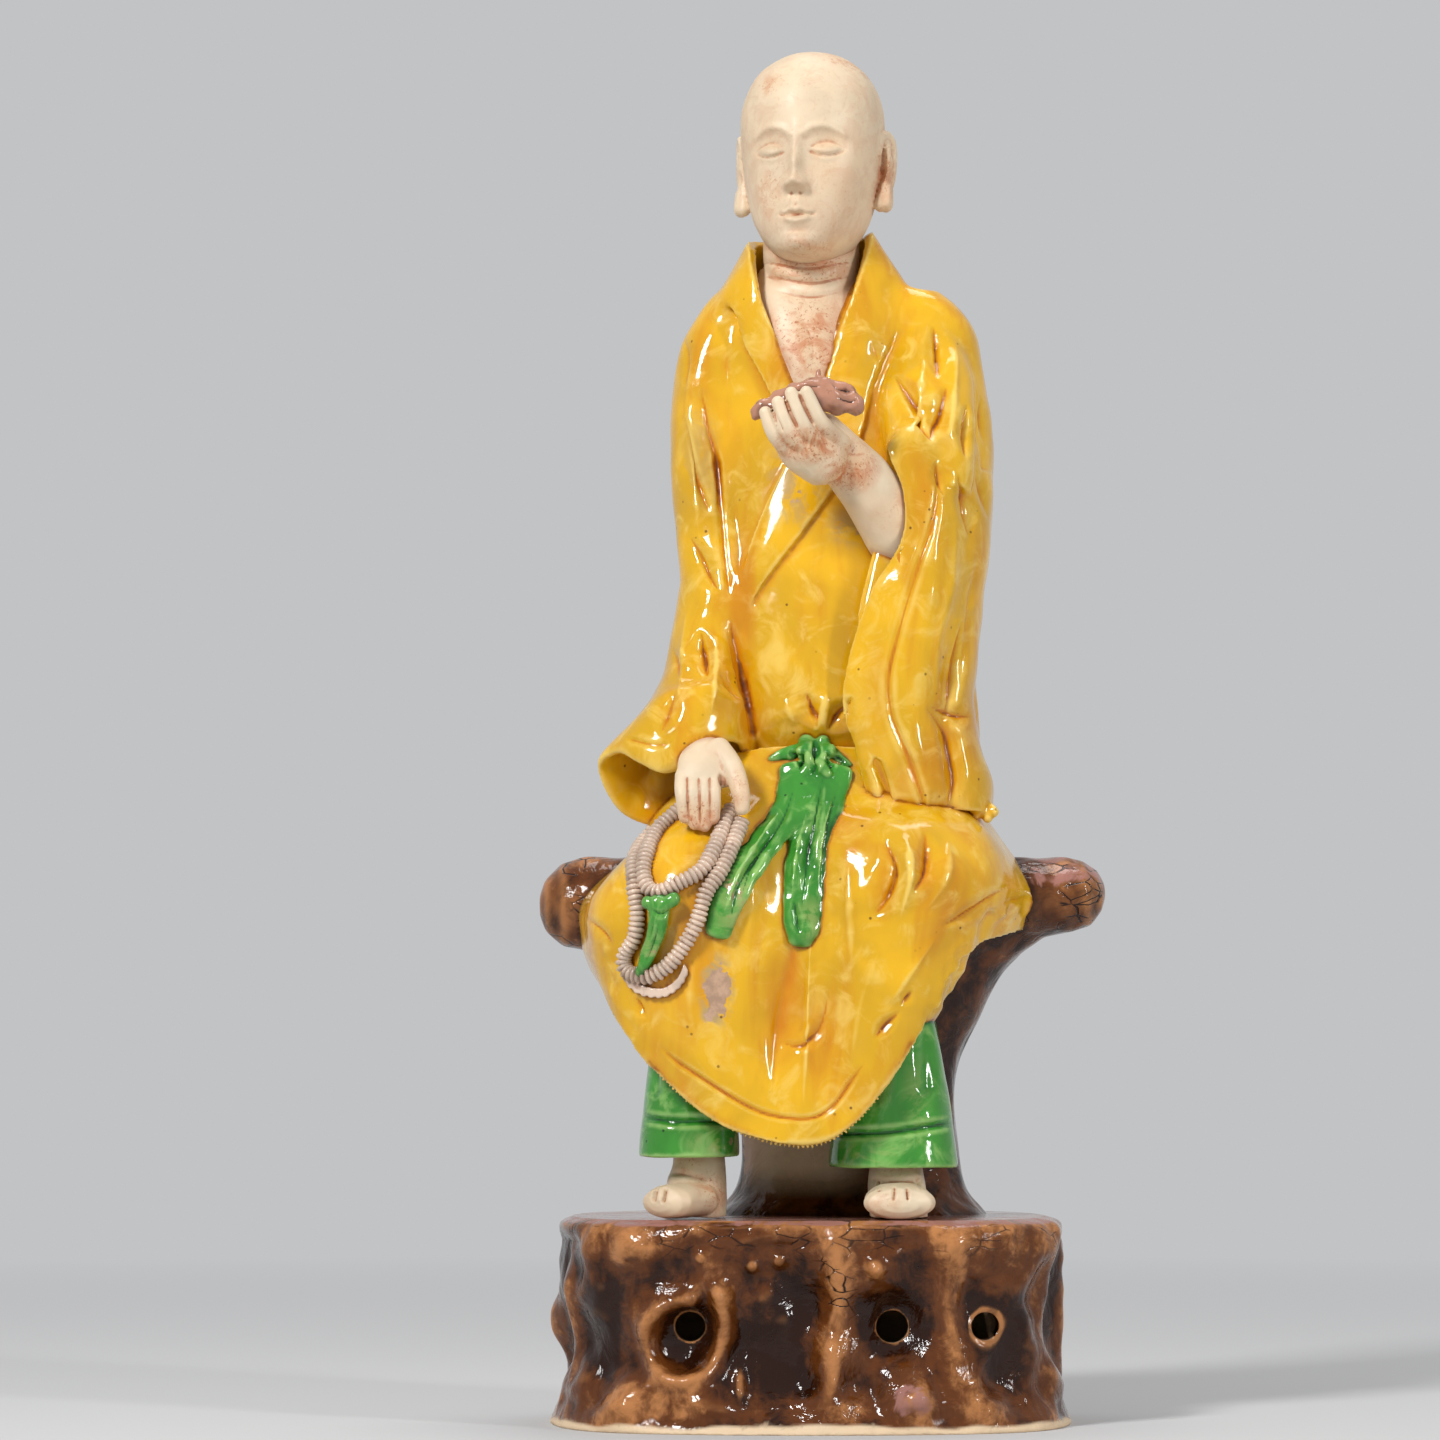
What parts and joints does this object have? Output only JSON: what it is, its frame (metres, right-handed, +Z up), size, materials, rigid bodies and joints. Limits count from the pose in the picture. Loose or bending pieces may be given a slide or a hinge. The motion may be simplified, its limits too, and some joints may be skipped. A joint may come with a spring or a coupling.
{
  "type": "arhat statue",
  "caption": "Glazed ceramic arhat in a wide-sleeved robe, seated on a root stool above a hollow pierced rock plinth, for standing on a shelf or table.",
  "frame": {"origin": "under the middle of the statue's box, on the level that the plinth's foot rim stands on", "axes": "+Z up, the figure faces -Y, +X to the right as seen from the front"},
  "size_m": [0.1228, 0.0856, 0.3015],
  "materials": {
    "robe_glaze": "amber yellow lead glaze, pooled darker in the folds",
    "green_glaze": "copper green lead glaze, pale on the edges",
    "brown_glaze": "treacle brown lead glaze over a carved rock",
    "bare_clay": "unglazed pale fired clay with rust specks",
    "bead_clay": "thin pinkish grey glaze on the beads and the held thing"
  },
  "bodies": {
    "root": {"arhat_statue": "robe_glaze"}
  },
  "joints": []
}
